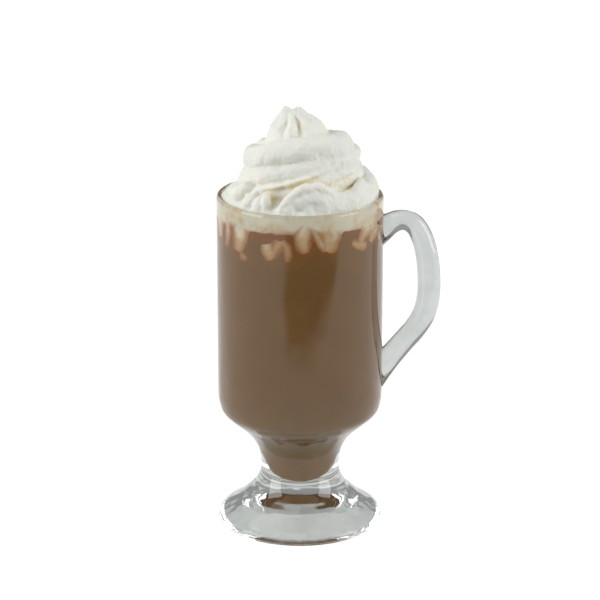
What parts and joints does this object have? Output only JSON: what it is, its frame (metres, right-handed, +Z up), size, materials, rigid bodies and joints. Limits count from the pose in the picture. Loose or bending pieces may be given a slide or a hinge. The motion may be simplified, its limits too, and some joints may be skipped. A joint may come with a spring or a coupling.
{
  "type": "jamaican coffee",
  "caption": "Footed clear glass mug with a side handle, filled with milky coffee and topped with a tall piped swirl of whipped cream.",
  "frame": {"origin": "on the surface that the foot stands on, in the middle of the outline seen from above", "axes": "+Z up along the mug's axis; +X towards the handle; +Y away from the viewer who sees the handle on the right"},
  "size_m": [0.0979, 0.073, 0.1889],
  "materials": {
    "clear_glass": "clear, polished, with a faint grey-green tint",
    "milky_coffee": "opaque milky brown liquid",
    "whipped_cream": "soft satin whipped cream, stained light brown where it meets the coffee behind the glass"
  },
  "bodies": {
    "root": {"glass_mug": "clear_glass", "coffee": "milky_coffee", "whipped_cream": "whipped_cream"}
  },
  "joints": []
}
